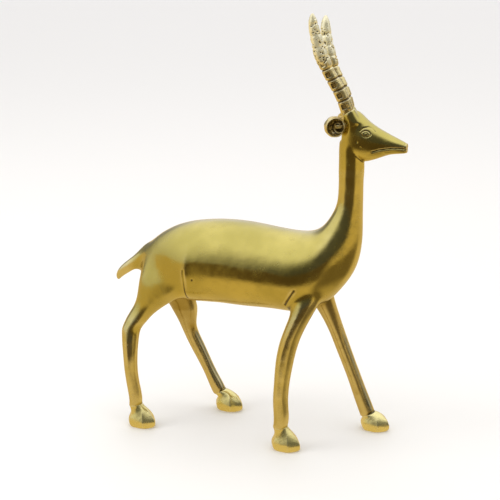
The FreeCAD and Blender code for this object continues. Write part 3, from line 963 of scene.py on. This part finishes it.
def brass(
    name, roughness=0.17, pitting=0.0, patina=1.0, gold=GOLD, olive=OLIVE, highlight_above=None,
    dirt_from=0.035, metallic=1.0,
):
    """Brass with drifting tone, dirt in its hollows, worn edges, painted leg shade and a brushed,
    rippled surface.

    From a given height up it turns pale and less metallic: a painted highlight. dirt_from is
    the depth of hollow, in mm, at which dirt begins to hold.
    """
    material, graph, shader = surface(name)
    blotches = graph.noise(BLOTCH_SCALE, 5.0, 0.6)
    brushed = graph.noise(1.0, 3.0, 0.6, graph.stretched(BRUSH_SCALE))

    colour = graph.blend(graph.spread(graph.noise(TONE_SCALE, 3.0), 0.35, 0.68), gold, olive)
    colour = graph.blend(graph.spread(blotches, 0.52, 0.80, 0.0, 0.55), colour, olive)
    # Painted highlight: from a given height up, the colour turns pale and less metallic.
    if highlight_above is not None:
        up = graph.height(graph.coords["Object"])
        painted_highlight = graph.spread(up, highlight_above, highlight_above + HIGHLIGHT_FADE, 0.0, HIGHLIGHT_SHARE)
        colour = graph.blend(painted_highlight, colour, HORN_HIGHLIGHT_PAINT)
        metallic = graph.math("SUBTRACT", 1.0, graph.math("MULTIPLY", painted_highlight, HIGHLIGHT_DULLING))
    # Painted shade: the inner sides of the legs below the belly are darkened.
    shelter = graph.math("MULTIPLY", graph.attribute("shelter"), LEG_SHADE_SHARE)
    colour = graph.blend(shelter, colour, PAINTED_LEG_SHADE)
    hollow = graph.attribute("hollow")
    proud = graph.math("MULTIPLY", hollow, -1.0)
    colour = graph.blend(graph.spread(proud, 0.02, 0.16, 0.0, 0.7), colour, WORN)
    ragged = graph.math("MULTIPLY", graph.math("SUBTRACT", blotches, 0.5), 0.05)
    deep = graph.spread(
        graph.math("ADD", hollow, ragged), dirt_from, 3 * dirt_from, 0.0, 0.92 * patina,
    )
    stains = graph.spread(graph.noise(STAIN_SCALE, 6.0, 0.7), 0.69, 0.84, 0.0, 0.3 * patina)
    dirt = graph.math("MAXIMUM", deep, stains)
    graph.feed(shader["Base Color"], graph.blend(dirt, colour, PATINA))
    graph.feed(shader["Metallic"], metallic)

    rough = graph.spread(blotches, 0.3, 0.75, roughness - 0.05, roughness + 0.09)
    rough = graph.math("ADD", rough, graph.math("MULTIPLY", dirt, 0.25))
    rough = graph.math("ADD", rough, graph.math("MULTIPLY", brushed, 0.06))
    graph.feed(shader["Roughness"], rough)

    normal = graph.bump(brushed, 0.020 * MM, 0.55)
    normal = graph.bump(graph.noise(GRAIN_SCALE, 3.0), 0.03 * MM, 0.5, normal)
    normal = graph.bump(graph.noise(RIPPLE_SCALE, 4.0), 0.12 * MM, 0.45, normal)
    if pitting:
        pits = graph.spread(graph.cells(PIT_SCALE), 0.0, 0.42)
        normal = graph.bump(pits, 0.4 * MM, pitting, normal)
    graph.feed(shader["Normal"], normal)
    graph.feed(shader["Coat Weight"], 0.35)
    graph.feed(shader["Coat Roughness"], 0.12)
    graph.feed(shader["Coat IOR"], 1.7)
    return material


def steel(name):
    """Plain turned rod, for the hidden studs."""
    material, graph, shader = surface(name)
    grain = graph.noise(500.0, 4.0)
    graph.feed(shader["Base Color"], graph.blend(grain, STEEL_DARK, STEEL_LIGHT))
    graph.feed(shader["Metallic"], 1.0)
    graph.feed(shader["Roughness"], graph.spread(grain, 0.2, 0.8, 0.25, 0.45))
    graph.feed(shader["Normal"], graph.bump(grain, 0.04 * MM, 0.6))
    return material


def dress(made, material):
    made.data.materials.clear()
    made.data.materials.append(material)


body_brass = brass("cast_brass")
hoof_brass = brass(
    "hoof_brass", roughness=0.20, patina=0.8, gold=(0.84, 0.72, 0.27), olive=(0.72, 0.60, 0.19),
    metallic=0.90,
)
# The horn tops get a painted highlight from 30 mm above the foot of the horn.
horn_brass = brass(
    "horn_brass", roughness=0.26, pitting=0.35, gold=(0.86, 0.72, 0.33),
    olive=(0.74, 0.59, 0.22), dirt_from=0.022,
    highlight_above=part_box("horn_right")[0].z + 30 * MM,
)
for made in skins.values():
    dress(made, body_brass)
for node, made in fine.items():
    dress(made, hoof_brass if node in HOOVES else horn_brass)
stud_steel = steel("stud_steel")
for material_slot in NODES["horn_studs"].material_slots:
    material_slot.material = stud_steel


# ------------------------------------------------------------------ surroundings

# The camera and diffuse light meet a plain pale room. Polished brass shows what it reflects, so
# glossy rays meet a cool sky with dark areas in it and a warm floor with dark areas on it.
PALE_ROOM = (0.96, 0.955, 0.945)
SKY_LOW = (0.80, 0.80, 0.86, 1)
SKY_HIGH = (1.20, 1.24, 1.48, 1)
SKY_HIGH_AT = 0.80

# Azimuth, elevation, inner and outer half angle in degrees, and the share of light left. The
# squash makes the areas wider than they are high.
SKY_SQUASH = 1.4
DARK_SKY = (
    (33, -4, 47, 76, 0.10),
    (-122, 4, 10, 36, 0.32),
    (128, 2, 10, 36, 0.28),
)

# Azimuth, inner and outer half angle in degrees, distances in metres where the darkness
# begins, is full and begins to end, and its share.
DARK_FLOOR = (
    (4, 29, 46, 0.20, 0.34, 20.0, 1.0),
    (72, 26, 46, 0.09, 0.20, 0.52, 0.85),
)
DARK_FLOOR_APEX = (0.02, 0.02, 0.0)
FADE_OUT = 1.3
FLOOR_SIZE = 60.0
FLOOR_PALE = (0.90, 0.88, 0.85, 1)
# The floor's painted reflection: a warm glow with dark wedges, seen only by glossy rays.
FLOOR_WARM = (0.78, 0.60, 0.31)
FLOOR_DARK = (0.11, 0.075, 0.035)


def towards(azimuth, elevation=0.0):
    """Unit vector; azimuth 0 is the side facing the viewer, and grows towards the head."""
    a, e = math.radians(azimuth), math.radians(elevation)
    return (math.sin(a) * math.cos(e), -math.cos(a) * math.cos(e), math.sin(e))


def cosine(degrees):
    return math.cos(math.radians(degrees))


def room():
    world = bpy.data.worlds.new("studio")
    bpy.context.scene.world = world
    world.use_nodes = True
    tree = world.node_tree
    tree.nodes.clear()
    graph = Graph(tree)
    direction = graph.coords["Generated"]
    ramp = tree.nodes.new("ShaderNodeValToRGB")
    graph.feed(ramp.inputs["Fac"], graph.height(direction))
    low, high = ramp.color_ramp.elements
    low.position, low.color = 0.0, SKY_LOW
    high.position, high.color = SKY_HIGH_AT, SKY_HIGH
    squashed = graph.vector("NORMALIZE", graph.vector("MULTIPLY", direction, (1, 1, SKY_SQUASH)))
    shade = 1.0
    for azimuth, elevation, inner, outer, left in DARK_SKY:
        middle = towards(azimuth, elevation * SKY_SQUASH)
        near = graph.vector("DOT_PRODUCT", squashed, middle, "Value")
        area = graph.spread(near, cosine(outer), cosine(inner), 1.0, left)
        shade = graph.math("MULTIPLY", shade, area)
    sky = graph.vector("SCALE", ramp.outputs["Color"], shade)
    back = tree.nodes.new("ShaderNodeBackground")
    graph.feed(back.inputs["Color"], graph.blend(graph.seen_in_metal(), PALE_ROOM, sky))
    graph.feed(back.inputs["Strength"], 1.0)
    out = tree.nodes.new("ShaderNodeOutputWorld")
    graph.feed(out.inputs[0], back.outputs[0])


def floor():
    bpy.ops.mesh.primitive_plane_add(size=FLOOR_SIZE, location=(0, 0, 0))
    made = bpy.context.object
    made.name = "floor"
    material, graph, shader = surface("floor")
    graph.feed(shader["Base Color"], FLOOR_PALE)
    graph.feed(shader["Roughness"], 0.6)
    tree = material.node_tree
    position = tree.nodes.new("ShaderNodeNewGeometry").outputs["Position"]
    from_apex = graph.vector("SUBTRACT", position, DARK_FLOOR_APEX)
    away = graph.vector("LENGTH", from_apex, output="Value")
    direction = graph.vector("NORMALIZE", from_apex)
    shade = 0.0
    for azimuth, inner, outer, begin, full, end, share in DARK_FLOOR:
        near = graph.vector("DOT_PRODUCT", direction, towards(azimuth), "Value")
        wedge = graph.spread(near, cosine(outer), cosine(inner), 0.0, share)
        ring = graph.math(
            "MULTIPLY", graph.spread(away, begin, full),
            graph.spread(away, end, FADE_OUT * end, 1.0, 0.0),
        )
        shade = graph.math("MAXIMUM", shade, graph.math("MULTIPLY", wedge, ring))
    # Painted reflection: glossy rays see the floor glow warm, darker in the wedges; camera and
    # diffuse rays see it plain and pale.
    glow = tree.nodes.new("ShaderNodeEmission")
    graph.feed(glow.inputs["Color"], graph.blend(shade, FLOOR_WARM, FLOOR_DARK))
    mix = tree.nodes.new("ShaderNodeMixShader")
    graph.feed(mix.inputs[0], graph.seen_in_metal())
    graph.feed(mix.inputs[1], tree.nodes["Principled BSDF"].outputs[0])
    graph.feed(mix.inputs[2], glow.outputs[0])
    graph.feed(tree.nodes["Material Output"].inputs["Surface"], mix.outputs[0])
    made.data.materials.append(material)


def area_light(name, at, aim, size, watts):
    """A soft light that polished metal does not show."""
    data = bpy.data.lights.new(name, "AREA")
    data.shape = "RECTANGLE"
    data.size, data.size_y = size
    data.energy = watts
    made = bpy.data.objects.new(name, data)
    bpy.context.scene.collection.objects.link(made)
    made.location = at
    made.rotation_euler = (Vector(aim) - Vector(at)).to_track_quat("-Z", "Y").to_euler()
    made.visible_glossy = False


CAMERA_AIM = (-0.0035, 0.0, 0.146)
CAMERA_PITCH = 16.5
CAMERA_DISTANCE = 1.0
CAMERA_LENS = 94.46


def camera():
    back = Vector(towards(VIEW_AZIMUTH, CAMERA_PITCH))
    data = bpy.data.cameras.new("camera")
    data.sensor_width = 36.0
    data.lens = CAMERA_LENS
    made = bpy.data.objects.new("camera", data)
    bpy.context.scene.collection.objects.link(made)
    made.location = Vector(CAMERA_AIM) + back * CAMERA_DISTANCE
    made.rotation_euler = (-back).to_track_quat("-Z", "Y").to_euler()
    bpy.context.scene.camera = made


room()
floor()
area_light("overhead", at=(0.0, 0.1, 1.3), aim=(0, 0, 0.1), size=(1.4, 1.2), watts=4)
area_light("key_left", at=(-0.9, -0.5, 0.9), aim=(0, 0, 0.15), size=(0.5, 0.5), watts=3)
camera()
bpy.context.scene.view_settings.view_transform = "Standard"
